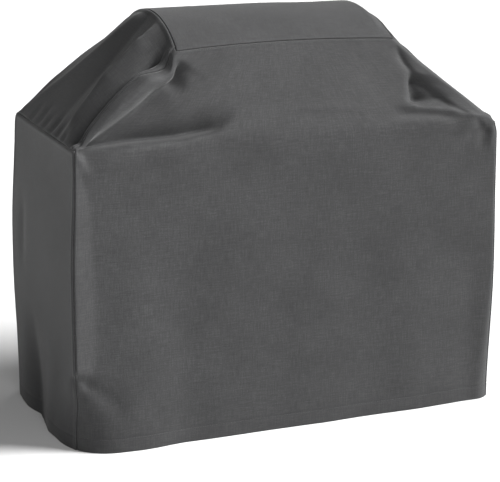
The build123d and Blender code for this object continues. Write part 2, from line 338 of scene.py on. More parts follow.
class Sheet:
    """All seven panels as one mesh: points, four-sided faces, the panel of each face, and flat lengths."""

    def __init__(self):
        points, faces, panels, flats = [], [], [], []
        self.first = {}
        start = 0
        for name, grid in grids.items():
            rows, columns = grid.shape[:2]
            index = start + np.arange(rows * columns).reshape(rows, columns)
            quads = np.stack([index[:-1, :-1], index[:-1, 1:], index[1:, 1:], index[1:, :-1]], -1)
            middle = grid[rows // 2, columns // 2]
            onward = grid[rows // 2, columns // 2 + 1] - middle
            upward = grid[rows // 2 + 1, columns // 2] - middle
            if np.dot(np.cross(onward, upward), OUTWARD[name]) < 0:
                quads = quads[..., ::-1]
            across, up = flat_lengths(grid, 1), flat_lengths(grid, 0)
            flats.append(np.stack(np.meshgrid(across, up), -1).reshape(-1, 2))
            owner = np.full(quads.shape[:2], list(grids).index(name))
            if "slope" in name:
                owner[:, :BAND_COLUMNS] = list(grids).index("front_panel")
                owner[:, -BAND_COLUMNS:] = list(grids).index("back_panel")
            points.append(grid.reshape(-1, 3))
            faces.append(quads.reshape(-1, 4))
            panels.append(owner.reshape(-1))
            self.first[name] = (start, rows, columns)
            start += rows * columns
        points = np.concatenate(points)
        faces = np.concatenate(faces)
        self.flat = np.concatenate(flats)[faces]
        self.panel = np.concatenate(panels)
        _, keep, merged = np.unique(np.round(points, 6), axis=0, return_index=True, return_inverse=True)
        self.merged = merged.reshape(-1)
        self.points = points[keep]
        self.faces = self.merged[faces]
        self.base = self.points.copy()
        edges = np.concatenate([self.faces[:, [i, (i + 1) % 4]] for i in range(4)])
        self.edges = np.unique(np.sort(edges, 1), axis=0)

    def lines(self, name):
        """Indices of a panel's points, row by row."""
        start, rows, columns = self.first[name]
        return self.merged[start:start + rows * columns].reshape(rows, columns)

    def normals(self):
        """Outward direction of the cloth at each point."""
        p = self.points[self.faces]
        face = np.cross(p[:, 2] - p[:, 0], p[:, 3] - p[:, 1])
        total = np.zeros_like(self.points)
        for corner in range(4):
            for axis in range(3):
                total[:, axis] += np.bincount(self.faces[:, corner], face[:, axis], len(total))
        return total / np.maximum(np.linalg.norm(total, axis=1, keepdims=True), 1e-12)

    def relax(self, weight, rounds):
        """Moves points towards the middle of their neighbours. The hem stays level."""
        a, b = self.edges.T
        n = len(self.points)
        count = np.bincount(a, minlength=n) + np.bincount(b, minlength=n)
        weight = np.broadcast_to(weight, n)[:, None]
        for _ in range(rounds):
            p = self.points
            total = np.stack([np.bincount(a, p[b, i], n) + np.bincount(b, p[a, i], n) for i in range(3)], 1)
            self.points = p + weight * (total / count[:, None] - p)
            self.points[self.base[:, 2] < CLOSE, 2] = 0


sheet = Sheet()
base = sheet.base


def round_corners():
    """Rounds the upright corners, tightly at the shoulder and more openly towards the hem."""
    top_radius, middle_radius = 5 * MM, 12 * MM
    hem_radius, front_left_radius = 60 * MM, 125 * MM
    p = sheet.points
    low = base[:, 2] <= SHOULDER + CLOSE
    fall = np.clip(1 - base[:, 2] / SHOULDER, 0, 1)
    front_left = (base[:, 0] < 0) & (base[:, 1] < 0)
    open_radius = np.where(front_left, front_left_radius, hem_radius)
    opened = np.where(front_left, ease(fall, 0.70, 0.93), ease(fall, 0.5, 1))
    radius = top_radius + (middle_radius - top_radius) * ease(fall, 0, 0.3)
    radius += (open_radius - middle_radius) * opened
    # the seam lies in the middle of the rounded corner, but nearer to the side where the front left opens
    seam_at = math.pi / 4 - math.radians(10) * opened * front_left
    from_side = HALF_WIDTH - np.abs(base[:, 0])
    from_face = HALF_DEPTH - np.abs(base[:, 1])
    on_face = from_face < CLOSE
    away = np.where(on_face, from_side, from_face)
    sector = np.where(on_face, math.pi / 2 - seam_at, seam_at)
    arc = radius * sector
    turn = np.clip(away / arc, 0, 1) * sector
    angle = np.where(on_face, seam_at + turn, seam_at - turn)
    # the rounded corner needs less cloth than the square one, and the next 250 mm take up what is left
    spare = (radius - arc) * (1 - ease(away - arc, 0, 250 * MM))
    beyond = away > arc
    x = np.where(on_face & beyond, away + spare, radius * (1 - np.cos(angle)))
    y = np.where(~on_face & beyond, away + spare, radius * (1 - np.sin(angle)))
    p[low, 0] = (np.sign(base[:, 0]) * (HALF_WIDTH - np.where(~on_face & beyond, 0, x)))[low]
    p[low, 1] = (np.sign(base[:, 1]) * (HALF_DEPTH - np.where(on_face & beyond, 0, y)))[low]


def flare_skirt():
    """Lets the skirt hang a little wider than the shoulder."""
    p = sheet.points
    fall = np.clip(1 - base[:, 2] / SHOULDER, 0, 1)
    left = 14 * MM * ease(fall, 0, 0.4)
    right = 21 * MM * fall
    front = 6 * MM * ease(fall, 0, 0.5) + 12 * MM * ease(fall, 0.5, 1)
    p[:, 0] += np.where(p[:, 0] < 0, -left, right) * ease(np.abs(p[:, 0]) / HALF_WIDTH, 0.3, 1)
    p[:, 1] += np.sign(p[:, 1]) * front * ease(np.abs(p[:, 1]) / HALF_DEPTH, 0.3, 1)
    bow = 7 * MM * (1 - (base[:, 1] / HALF_DEPTH) ** 2) * ease(fall, 0, 0.3) * ease(-fall, -0.9, -0.5)
    p[:, 0] += np.sign(p[:, 0]) * bow * (np.abs(base[:, 0]) > HALF_WIDTH - CLOSE)


def soften_edges():
    """Rounds the cover over the lid and the shelves."""
    soft, crisp = 50 * MM, 20 * MM  # reach of the rounding at the shoulder and lid, and at the shelf's edge
    high = base[:, 2] > SHOULDER - 90 * MM
    bend = np.exp(-((base[:, 2] - SHOULDER) / soft) ** 2)
    on_face = (HALF_DEPTH - np.abs(base[:, 1])) < 70 * MM
    shelf = (HALF_WIDTH - np.abs(base[:, 0])) < crisp
    from_seam = np.hypot(np.abs(base[:, 1]) - SEAM_REACH, base[:, 2] - SEAM_HEIGHT)
    seam = np.exp(-(from_seam / soft) ** 2)
    sheet.relax(0.5 * np.clip(bend * on_face * ~shelf + seam, 0, 1), 60)
    brink = np.exp(-((base[:, 2] - SHOULDER) / crisp) ** 2) * shelf
    rear = 0.3 + 0.7 * ease(base[:, 1], 100 * MM, 260 * MM)
    sheet.relax(0.5 * brink * rear, 30)
    sheet.relax(0.5 * high, 3)


END_SAG, LID_SAG = 26 * MM, 5 * MM  # how far the lid's right end sinks, and the lid to the left of it
EDGE_SAG = 13 * MM                  # how far the right shoulder's front and back edges hang
SHELF_CORNER = (9 * MM, 5 * MM, 26 * MM)  # how far the shelf's right corners sink, come in, and reach


def hang(up):
    """Sag of a slanted edge: none at its foot and its head, and 1 between them."""
    return ease(up, 0, 0.12) * ease(-up, -1.0, -0.7)


def drop_right_end():
    """Lets the slack right end of the cover sink: the lid's end, the shoulder and the shelf's corners."""
    x, y, z = base.T
    up_slope = np.clip((HALF_WIDTH - x) / (HALF_WIDTH - HALF_LID), 0, 1)
    half_depth = HALF_DEPTH + (SEAM_REACH - HALF_DEPTH) * up_slope
    crown = 1 - np.clip(y / half_depth, -1, 1) ** 2
    on_slope = (x > HALF_LID) & (np.abs(y) < half_depth + 0.1 * MM) & (z > SHOULDER)
    slope = EDGE_SAG * hang(up_slope) + END_SAG * crown * ease(up_slope, 0.2, 0.8)

    on_lid = (x <= HALF_LID + CLOSE) & (z > SEAM_HEIGHT)
    to_end = ease(x, 280 * MM, HALF_LID + 4 * MM)
    lid = crown * (LID_SAG * ease(x, 0, 200 * MM) + (END_SAG - LID_SAG) * to_end)

    on_face = (z > SHOULDER) & (z < SEAM_HEIGHT)
    up_face = np.clip((z - SHOULDER) / (SEAM_HEIGHT - SHOULDER), 0, 1)
    from_edge = HALF_WIDTH + (HALF_LID - HALF_WIDTH) * up_face - x
    face = EDGE_SAG * hang(up_face) * ease(-from_edge, -90 * MM, 0)

    corner = np.hypot(np.hypot(x - HALF_WIDTH, np.abs(y) - HALF_DEPTH), z - SHOULDER)
    down, inward, reach = SHELF_CORNER
    rounded = np.exp(-(corner / reach) ** 2)
    drop = np.select([on_slope, on_lid, on_face], [slope, lid, face], 0) + down * rounded
    sheet.points[:, 2] -= np.where(x > 0, drop, 0)
    sheet.points[:, 0] -= np.where(x > 0, inward * rounded, 0)


class Stroke:
    """A fold pressed into or pulled out of the sheet along a path, as a hand would shape it.

    path and height are in mm, and height is outward. wide holds the half widths in mm on the path's left
    and right, seen from outside. crisp is 2 for a soft roll and 1 for a sharp crease. fade holds the share
    of the path over which the fold grows at its start and dies at its end. along is a fixed direction to
    push in, in place of the cloth's own.
    """

    def __init__(self, path, height, wide, crisp=2.0, fade=(0.2, 0.2), along=None):
        self.along = None if along is None else np.array(along, float)
        self.path = np.array(path, float) * MM
        self.height = height * MM
        self.wide = np.array(wide if hasattr(wide, "__len__") else (wide, wide)) * MM
        self.crisp = crisp
        self.fade = fade

    def mirrored(self, axis):
        """The same fold on the other side of the cover."""
        flip = np.ones(3)
        flip[axis] = -1
        along = None if self.along is None else self.along * flip
        return Stroke(self.path / MM * flip, self.height / MM, self.wide[::-1] / MM, self.crisp,
                      self.fade, along)

    def lift(self, points, normals):
        """How far the fold moves each point."""
        reach = 4 * self.wide.max()
        low, high = self.path.min(0) - reach, self.path.max(0) + reach
        near = np.flatnonzero(np.all((points > low) & (points < high), axis=1))
        p, n = points[near], normals[near]
        a, b = self.path[:-1], self.path[1:]
        lengths = np.linalg.norm(b - a, axis=1)
        starts = np.concatenate([[0], np.cumsum(lengths)])
        best = np.full(len(near), np.inf)
        share = np.zeros(len(near))
        side = np.zeros(len(near))
        for i in range(len(a)):
            run = (b[i] - a[i]) / lengths[i]
            t = np.clip((p - a[i]) @ run, 0, lengths[i])
            gap = p - (a[i] + t[:, None] * run)
            distance = np.linalg.norm(gap, axis=1)
            closer = distance < best
            best = np.where(closer, distance, best)
            share = np.where(closer, (starts[i] + t) / starts[-1], share)
            hand = np.einsum("ij,ij->i", np.cross(n, run), gap)
            side = np.where(closer, hand, side)
        width = np.where(side > 0, self.wide[0], self.wide[1])
        rise = np.exp(-(best / width) ** self.crisp)
        grow, die = (max(part, 0.001) for part in self.fade)
        rise *= ease(share, -0.001, grow) * ease(1 - share, -0.001, die)
        push = n if self.along is None else self.along[None]
        shift = np.zeros_like(points)
        shift[near] = self.height * rise[:, None] * push
        return shift


UP_SHOULDER = (0, 0.2, 0.5, 0.8, 0.92, 1)  # places from the shelf's edge up to the lid
# Fold lines of a shoulder: share across from the front edge (-1) to the back (1), and height in mm,
# each at those places
FOLD_LINES = [
    ((-1, -1, -1, -1, -1, -1), (0, 0, 0, 0, 0, 0)),
    ((-0.895, -0.89, -0.88, -0.87, -0.86, -0.86), (2, 10, 13, 6, -8, 0)),           # sewn edge of the band
    ((-0.86, -0.86, -0.85, -0.84, -0.81, -0.80), (-2, -22, -30, -38, -8, 0)),       # crevice behind it
    ((-0.76, -0.80, -0.79, -0.77, -0.74, -0.70), (0, 3, 4, -6, -2, 0)),             # foot of the facet
    ((-0.55, -0.54, -0.52, -0.50, -0.45, -0.42), (2, 25, 38, 32, 13, 0)),           # taut ridge
    ((-0.47, -0.46, -0.455, -0.44, -0.40, -0.36), (0, 6, 8, 4, 1, 0)),
    ((-0.15, -0.12, -0.12, -0.12, -0.12, -0.12), (0, -6, -8, -3, -1, 0)),           # slack cloth
    ((0.90, 0.78, 0.50, 0.20, 0.10, 0.05), (1, 6, 13, 17, 13, 0)),                  # second ridge
    ((0.95, 0.86, 0.62, 0.36, 0.30, 0.30), (0, 2, 7, 10, 8, 0)),
    ((1, 1, 1, 1, 1, 1), (0, 0, 0, 0, 0, 0)),
]
# straight out of the left shoulder, whose head is some 40 mm below the lid's top
SLOPE_OUT = np.array([-(HEIGHT - 40 * MM - SHOULDER), 0, HALF_WIDTH - HALF_LID])
SLOPE_OUT /= np.linalg.norm(SLOPE_OUT)


def fold_shoulder(side):
    """Height of the cloth between the fold lines of one shoulder, for every point of the sheet."""
    points = sheet.lines(f"{side}_slope_panel")
    place = base[points]
    up = (HALF_WIDTH - np.abs(place[..., 0])) / (HALF_WIDTH - HALF_LID)
    half_depth = HALF_DEPTH + (SEAM_REACH - HALF_DEPTH) * up
    share = place[..., 1] / half_depth
    height = np.zeros(len(base))
    for row in range(len(points)):
        at = [np.interp(up[row, 0], UP_SHOULDER, shares) for shares, _ in FOLD_LINES]
        tall = [np.interp(up[row, 0], UP_SHOULDER, heights) for _, heights in FOLD_LINES]
        height[points[row]] = np.interp(share[row], at, tall) * MM
    return height


EDGE_BAND = [
    # the shoulder's front edge drops under the lid's corner
    Stroke([(-405, -226, 969), (-355, -216, 1006), (-314, -208, 1037)], -24, 40, fade=(0.55, 0.45),
           along=SLOPE_OUT),
    # rounded band of cloth along that edge
    Stroke([(-608, -267, 816), (-480, -241, 912), (-360, -217, 1002)], 13, 28, crisp=3.0, fade=(0.08, 0.16)),
]
# the same band, flatter, on the right, and a broad roll along the left shoulder's rear edge
RIGHT_BAND = Stroke([(606, -267, 817), (480, -241, 912), (320, -209, 1032)], 3, 30, fade=(0.15, 0.2))
REAR_EDGE = Stroke([(-605, 266, 818), (-450, 235, 935), (-312, 208, 1038)], 10, 70, fade=(0.4, 0.4))
LEFT_SHOULDER = [
    # crease under the band, then the cloth under the lid's corner hanging straight down
    Stroke([(-604, -267, 808), (-550, -260, 838), (-483, -250, 877), (-415, -239, 917), (-361, -228, 957),
            (-326, -222, 980), (-306, -213, 1020)], -26, (9, 30), crisp=1.3, fade=(0.06, 0.06)),
    Stroke([(-345, -230, 955), (-322, -226, 962), (-285, -226, 965)], -9, (24, 24), fade=(0.3, 0.5)),
]
# small gathers that run up from the shelf's left edge
LEFT_GATHERS = [
    Stroke([(-609, -165, 812), (-585, -150, 838), (-560, -140, 860)], -7, 9, crisp=1.6, fade=(0.2, 0.6)),
    Stroke([(-609, -110, 812), (-585, -100, 838), (-560, -96, 862)], -6, 8, crisp=1.6, fade=(0.2, 0.6)),
    Stroke([(-609, -50, 812), (-580, -38, 842), (-550, -28, 872)], -8, 9, crisp=1.4, fade=(0.2, 0.6)),
    Stroke([(-609, 10, 812), (-585, 22, 838), (-562, 30, 860)], -6, 8, crisp=1.4, fade=(0.2, 0.6)),
    Stroke([(-609, 62, 812), (-580, 74, 842), (-545, 86, 876)], -5, 9, crisp=1.4, fade=(0.2, 0.6)),
    Stroke([(-609, 120, 812), (-582, 134, 842), (-560, 146, 862)], -4, 9, crisp=1.4, fade=(0.2, 0.6)),
]
LEFT_FRONT = [
    # hollow under the shoulder's crease
    Stroke([(-560, -262, 828), (-450, -254, 872), (-365, -242, 915), (-335, -230, 960)], -7, (34, 30),
           fade=(0.3, 0.3)),
    # sagging fold that starts at the shelf's corner and dies out towards the middle
    Stroke([(-602, -268, 812), (-539, -265, 822), (-459, -263, 831), (-324, -263, 833), (-226, -259, 846),
            (-150, -252, 882)], -38, (36, 7), crisp=1.5, fade=(0.04, 0.3)),
    # the cloth that stands out under it, with a short tuck
    Stroke([(-590, -268, 794), (-459, -268, 806), (-324, -268, 808), (-226, -266, 822)], 6, (10, 45),
           fade=(0.2, 0.35)),
    Stroke([(-318, -264, 840), (-300, -266, 818)], 3, 6, crisp=1.5, fade=(0.3, 0.3)),
]
RIGHT_SHOULDER = [
    # crease under the band, from the lid's corner down to the shelf
    Stroke([(312, -208, 1037), (325, -214, 1016), (340, -222, 986), (361, -231, 953), (413, -243, 906),
            (471, -256, 858), (540, -264, 826)], -8, (7, 12), crisp=1.3, fade=(0.15, 0.1)),
    # hollow triangle between that crease and the shelf: deepest along its left and lower edges
    Stroke([(356, -231, 956), (355, -245, 908), (358, -252, 868)], -34, (46, 6), crisp=1.5, fade=(0.4, 0.1)),
    Stroke([(358, -252, 872), (420, -255, 866), (490, -261, 846)], -20, (34, 8), crisp=1.5, fade=(0.1, 0.6)),
    # taut ridge along the shelf, and the hollow under it
    Stroke([(297, -256, 856), (328, -254, 862), (358, -254, 864), (440, -257, 854), (500, -261, 838),
            (575, -266, 820)], 8, (13, 11), crisp=1.5, fade=(0.16, 0.2)),
    Stroke([(290, -258, 842), (360, -257, 842), (440, -259, 832), (520, -264, 812)], -5, 11, fade=(0.2, 0.3)),
]
# gathers that fan out from the shelf's right corner
RIGHT_GATHERS = [
    Stroke([(578, -267, 806), (540, -268, 784), (505, -268, 745)], -5, 14, fade=(0.15, 0.6)),
    Stroke([(588, -267, 800), (568, -268, 770), (556, -268, 725)], -5, 11, fade=(0.15, 0.6)),
    Stroke([(600, -266, 800), (592, -268, 765), (588, -268, 720)], 4, 10, fade=(0.15, 0.6)),
    Stroke([(560, -267, 808), (520, -268, 800), (470, -268, 790)], 3, 12, fade=(0.15, 0.6)),
]
CORNER = [
    # hollow below the pinch
    Stroke([(-600, -268, 206), (-560, -268, 178), (-505, -268, 128), (-480, -268, 50)], -10, (26, 62),
           crisp=1.6, fade=(0.2, 0.5)),
    # pinch where the standing corner ends, above the hem
    Stroke([(-611, -258, 222), (-597, -268, 211), (-572, -268, 198), (-545, -268, 186)], -10, (9, 18),
           crisp=1.4, fade=(0.05, 0.5)),
]
# the standing front left corner's width and rise at heights up to the shelf: height, width and rise in mm
FLANGE = ((228, 50, 16), (285, 62, 16), (430, 62, 15), (560, 56, 14), (670, 44, 11), (785, 8, 3))


def stand_corner():
    """Makes the front left corner stand proud of the front."""
    height, width, rise = (np.array(column) * MM for column in zip(*FLANGE))
    z = base[:, 2]
    reach = np.interp(z, height, width)
    out = np.interp(z, height, rise) * ease(z, 216 * MM, 232 * MM) * ease(-z, -800 * MM, -760 * MM)
    from_side = base[:, 0] + HALF_WIDTH
    on_front = np.abs(base[:, 1] + HALF_DEPTH) < CLOSE
    on_side = np.abs(from_side) < CLOSE
    slide = 1 - np.clip((base[:, 1] + HALF_DEPTH) / (120 * MM), 0, 1)
    share = np.where(on_front, np.clip(1 - from_side / reach, 0, 1), 0)
    share = np.where(on_side, slide, share)
    sheet.points[:, 1] -= share * out


LEFT_SIDE = [
    # fold where the hem strap draws the side in, with the cloth standing out on both sides of it
    Stroke([(-610, 62, 345), (-610, 58, 200), (-610, 52, 0)], -14, (60, 40), crisp=1.5, fade=(0.8, 0.0)),
    Stroke([(-610, 150, 330), (-610, 160, 0)], 7, 60, fade=(0.7, 0.0)),
    Stroke([(-610, -110, 360), (-610, -130, 0)], 9, 70, fade=(0.7, 0.0)),
    Stroke([(-610, 150, 640), (-610, 165, 380)], -5, 30, fade=(0.4, 0.4)),
]
BACK_FOLDS = [
    Stroke([(-240, 268, 700), (-225, 268, 350), (-230, 268, 0)], 7, 60, fade=(0.5, 0.0)),
    Stroke([(120, 268, 640), (100, 268, 300), (110, 268, 0)], -8, 48, fade=(0.5, 0.0)),
    Stroke([(380, 268, 560), (400, 268, 250), (395, 268, 0)], 7, 55, fade=(0.5, 0.0)),
    Stroke([(-560, 266, 815), (-380, 266, 800), (-200, 268, 806), (-60, 268, 825)], -8, (16, 30), crisp=1.8,
           fade=(0.1, 0.5)),
    Stroke([(560, 266, 815), (420, 266, 796), (240, 268, 800)], -8, (30, 16), crisp=1.8, fade=(0.1, 0.5)),
]
FRONT_FOLDS = [
    # faint level crease at the shelf's height, then broad soft folds down to the hem
    Stroke([(-90, -250, 884), (105, -252, 874), (285, -257, 858)], 2.0, 9, crisp=1.3, fade=(0.4, 0.4)),
    Stroke([(-470, -268, 640), (-440, -268, 300), (-455, -268, 0)], 5, 75, fade=(0.5, 0.0)),
    Stroke([(-330, -268, 560), (-310, -268, 280), (-300, -268, 0)], -5, 60, fade=(0.5, 0.0)),
    Stroke([(60, -268, 520), (80, -268, 240), (70, -268, 0)], 4, 95, fade=(0.5, 0.0)),
    Stroke([(330, -268, 600), (350, -268, 300), (345, -268, 0)], 5, 80, fade=(0.5, 0.0)),
    Stroke([(520, -268, 520), (535, -268, 240), (540, -268, 0)], -4, 45, fade=(0.5, 0.0)),
    Stroke([(-380, -268, 260), (-370, -268, 0)], 4, 130, fade=(0.9, 0.0)),
]


def press_folds():
    """Every fold. The back and the right side take mirrored copies of some of the left front's."""
    strokes = EDGE_BAND + LEFT_SHOULDER + LEFT_GATHERS + LEFT_FRONT + RIGHT_SHOULDER + RIGHT_GATHERS
    strokes = strokes + CORNER + LEFT_SIDE + BACK_FOLDS + FRONT_FOLDS
    strokes += [s.mirrored(0) for s in LEFT_GATHERS[1:]] + [REAR_EDGE, RIGHT_BAND]
    behind = [s.mirrored(1) for s in LEFT_SHOULDER[:1]]
    strokes += behind + [s.mirrored(0) for s in behind]
    strokes += [s.mirrored(0) for s in LEFT_SIDE[1:]]
    normals = sheet.normals()
    shift = sum(s.lift(base, normals) for s in strokes)
    folds = fold_shoulder("left") + np.minimum(fold_shoulder("right"), 1 * MM)
    sheet.points = sheet.points + shift + normals * folds[:, None]
    sheet.points[base[:, 2] < CLOSE, 2] = 0


SEAM_GROOVE, SHELF_GROOVE, HEM_GROOVE = 2.2 * MM, 0.66 * MM, 0.9 * MM
FELL_RISE, FACE_FELL_RISE = 1.5 * MM, 0.9 * MM  # of the turned allowance, and along the lid's front and back
HEM_STITCH = 2 * MM  # stitches below the hem's upper edge


def sew_seams():
    """Presses a groove into every seam, with the turned allowance standing proud beside it."""
    rise = np.zeros(len(base))
    for side in ("left", "right"):
        panel = sheet.lines(f"{side}_side_panel")
        rise[panel[:, 1:4]] = FELL_RISE
        rise[panel[:, -4:-1]] = FELL_RISE
        rise[panel[-4:-1, 4:-4]] = FELL_RISE
        slope = sheet.lines(f"{side}_slope_panel")
        rise[slope[:, BAND_COLUMNS + 1:BAND_COLUMNS + 4]] = FELL_RISE
        rise[slope[:, -BAND_COLUMNS - 4:-BAND_COLUMNS - 1]] = FELL_RISE
        rise[slope[-4:-1, BAND_COLUMNS:-BAND_COLUMNS]] = FELL_RISE
        seams = (panel[:, 0], panel[:, -1], slope[:, BAND_COLUMNS], slope[:, -1 - BAND_COLUMNS], slope[-1])
        for line in seams:
            rise[line] = -SEAM_GROOVE
        rise[panel[-1]] = -SHELF_GROOVE
    for face in ("front", "back"):
        panel = sheet.lines(f"{face}_panel")
        rise[panel[-4:-1, 4:-4]] = FACE_FELL_RISE
        rise[panel[-1]] = -SEAM_GROOVE
    rise[np.abs(base[:, 2] - (HEM_HEIGHT - HEM_STITCH)) < CLOSE] -= HEM_GROOVE
    sheet.points = sheet.points + sheet.normals() * rise[:, None]


round_corners()
flare_skirt()
soften_edges()
drop_right_end()
stand_corner()
press_folds()
sheet.relax(0.35, 2)
sew_seams()


# ---------------------------------------------------------------- materials of the other pieces

def ribbed(name, shade, across, along, roughness, sheen, relief):
    """Narrow woven goods: ribs across and along the piece, at their real pitch, with painted shade in the
    colour between the ribs.
    """
    material, tree, shader = new_material(name)
    uv = add(tree, "ShaderNodeUVMap", uv_map="cloth").outputs["UV"]
    axes = add(tree, "ShaderNodeSeparateXYZ", {"Vector": uv})
    ribs = sine_threads(tree, axes.outputs["X"], across)
    picks = sine_threads(tree, axes.outputs["Y"], along)
    weave = add(tree, "ShaderNodeMath", {0: ribs, 1: picks}, operation="MULTIPLY").outputs[0]
    fuzz = add(tree, "ShaderNodeTexNoise", {"Vector": uv, "Scale": 900.0, "Detail": 2.0}).outputs["Fac"]
    height = add(tree, "ShaderNodeMath", {0: fuzz, 1: 0.6, 2: weave}, operation="MULTIPLY_ADD").outputs[0]
    bump = add(tree, "ShaderNodeBump", {"Height": height, "Strength": 0.6, "Distance": relief})
    tree.links.new(bump.outputs["Normal"], shader.inputs["Normal"])
    # colour is darker where the ribs are low: painted shade between the ribs, with random tone from the fuzz
    tone = add(tree, "ShaderNodeMapRange", {"Value": height, "From Min": -1.0, "From Max": 1.6,
                                            "To Min": 0.75, "To Max": 1.1})
    colour = add(tree, "ShaderNodeMix", {"Factor": 1.0, "A": linear(shade), "B": tone.outputs["Result"]},
                 data_type="RGBA", blend_type="MULTIPLY")
    tree.links.new(colour.outputs["Result"], shader.inputs["Base Color"])
    shader.inputs["Roughness"].default_value = roughness
    shader.inputs["Sheen Weight"].default_value = sheen
    return material


def moulded_acetal():
    """Injection-moulded black acetal: satin, with a fine spark-eroded grain from the mould."""
    material, tree, shader = new_material("acetal_moulded")
    place = add(tree, "ShaderNodeTexCoord").outputs["Object"]
    grain = add(tree, "ShaderNodeTexNoise", {"Vector": place, "Scale": 1800.0, "Detail": 3.0}).outputs["Fac"]
    bump = add(tree, "ShaderNodeBump", {"Height": grain, "Strength": 0.25, "Distance": 0.1 * MM})
    tree.links.new(bump.outputs["Normal"], shader.inputs["Normal"])
    worn = add(tree, "ShaderNodeTexNoise", {"Vector": place, "Scale": 60.0, "Detail": 2.0}).outputs["Fac"]
    gloss = add(tree, "ShaderNodeMapRange", {"Value": worn, "To Min": 0.34, "To Max": 0.52})
    tree.links.new(gloss.outputs["Result"], shader.inputs["Roughness"])
    shader.inputs["Base Color"].default_value = linear("#141415")
    shader.inputs["IOR"].default_value = 1.48
    return material


SEAM_TAPE = ribbed("polyester_seam_tape", "#1E1E1F", 1.0 * MM, 0.7 * MM, 0.85, 0.1, 0.15 * MM)
WEBBING = ribbed("polypropylene_webbing", "#19191A", 1.7 * MM, 2.2 * MM, 0.6, 0.15, 0.4 * MM)
SATIN = ribbed("polyester_satin", "#E4E3DF", 0.3 * MM, 0.9 * MM, 0.38, 0.2, 0.05 * MM)
THREAD = ribbed("bonded_polyester_thread", "#242425", 0.5 * MM, 0.5 * MM, 0.55, 0.1, 0.1 * MM)
ACETAL = moulded_acetal()


# ---------------------------------------------------------------- panels, hems, tapes and patches

PANEL_CLOTH, HEM_CLOTH, PATCH_CLOTH = 0.9 * MM, 0.9 * MM, 0.8 * MM
TAPE_CLOTH, LABEL_CLOTH = 0.5 * MM, 0.3 * MM
LAYER_DEPTH = 1.2 * MM  # outer face of what is sewn inside the panels, from the panels' outer face
LABEL_GAP = 0.1 * MM    # between the hem's cloth and the label
TAPE_REACH = 12 * MM    # on each side of its seam


def layer(name, which, material, thickness, depth=0.0):
    """One piece of cloth from faces of the sheet, that far inside it, with its thickness on the inside."""
    faces, uv = sheet.faces[which], sheet.flat[which]
    used, local = np.unique(faces, return_inverse=True)
    local = local.reshape(faces.shape)
    mesh = bpy.data.meshes.new(name)
    mesh.from_pydata((sheet.points[used] - depth * NORMALS[used]).tolist(), [], local.tolist())
    uv_layer = mesh.uv_layers.new(name="cloth")
    uv_layer.data.foreach_set("uv", uv.reshape(-1).astype(np.float32))
    return finish_cloth(name, mesh, material, thickness, -1)


def finish_cloth(name, mesh, material, thickness, offset):
    """Gives a thin mesh its thickness and material, and keeps it above the floor."""
    mesh.polygons.foreach_set("use_smooth", np.ones(len(mesh.polygons), bool))
    made = bpy.data.objects.new(name, mesh)
    bpy.context.scene.collection.objects.link(made)
    wall = made.modifiers.new("thickness", "SOLIDIFY")
    wall.thickness = thickness
    wall.offset = offset
    made.data.materials.append(material)
    bpy.context.view_layer.objects.active = made
    bpy.ops.object.modifier_apply(modifier=wall.name)
    for vertex in made.data.vertices:
        vertex.co.z = max(vertex.co.z, 0)
    return made


def declare(piece, node):
    """Hangs a sheet of cloth with the cover, and hides the CAD solid that it takes the place of."""
    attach(piece, "cover")
    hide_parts(node)


NORMALS = sheet.normals()
PLACES = base[sheet.faces].mean(1)      # middle of each face, on the unfolded cover
FLAT_PLACES = sheet.flat.mean(1)        # and along its cloth
BLOCKS, first_face = {}, 0              # numbers of each grid's faces, row by row
for name, grid in grids.items():
    rows, columns = grid.shape[0] - 1, grid.shape[1] - 1
    BLOCKS[name] = first_face + np.arange(rows * columns).reshape(rows, columns)
    first_face += rows * columns


def near_line(name, axis, line):
    """Faces of a grid that a tape along one of its lines covers."""
    at = flat_lengths(grids[name], axis)[line]
    block = BLOCKS[name]
    if "slope" in name and axis == 0:
        block = block[:, BAND_COLUMNS:-BAND_COLUMNS]
    block = block.reshape(-1)
    return block[np.abs(FLAT_PLACES[block, 1 - axis] - at) < TAPE_REACH]


def inside_box(name, node, axis):
    """Faces of a grid that lie in a CAD solid's box, along that axis and in height, and its flat size."""
    low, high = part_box(node)
    block = BLOCKS[name].reshape(-1)
    along, level = PLACES[block, axis], PLACES[block, 2]
    inside = (along > low[axis]) & (along < high[axis]) & (level > low.z) & (level < high.z)
    return block[inside], (high[axis] - low[axis], high.z - low.z)


# flat size of each panel's cut, in metres, and whether it is cut narrower towards the lid
LEANING_PART = 0.55 * SLOPE_LENGTH  # of the front's and the back's cut, above the shelf
FACE_CUT = (2 * HALF_WIDTH, SHOULDER + LEANING_PART)
SIDE_CUT = (2 * HALF_DEPTH, SHOULDER)
SLOPE_CUT = (2 * HALF_DEPTH, SLOPE_LENGTH)
FLAT_CUTS = {
    "front_panel": (FACE_CUT, True),
    "back_panel": (FACE_CUT, True),
    "top_panel": ((2 * HALF_LID, 2 * LID_ARC), False),
    "left_side_panel": (SIDE_CUT, False),
    "right_side_panel": (SIDE_CUT, False),
    "left_slope_panel": (SLOPE_CUT, True),
    "right_slope_panel": (SLOPE_CUT, True),
}
for name, (flat, narrower) in FLAT_CUTS.items():
    mine = np.flatnonzero(sheet.panel == list(grids).index(name))
    piece = layer(f"{name}_cloth", mine, CLOTH, PANEL_CLOTH)
    declare(piece, name)

for name in ("front", "back", "left", "right"):
    panel = f"{name}_panel" if name in ("front", "back") else f"{name}_side_panel"
    block = BLOCKS[panel].reshape(-1)
    mine = block[PLACES[block, 2] < HEM_HEIGHT]
    piece = layer(f"{name}_hem_cloth", mine, CLOTH, HEM_CLOTH, LAYER_DEPTH)
    length = 2 * (HALF_WIDTH if name in ("front", "back") else HALF_DEPTH)
    declare(piece, f"{name}_hem")

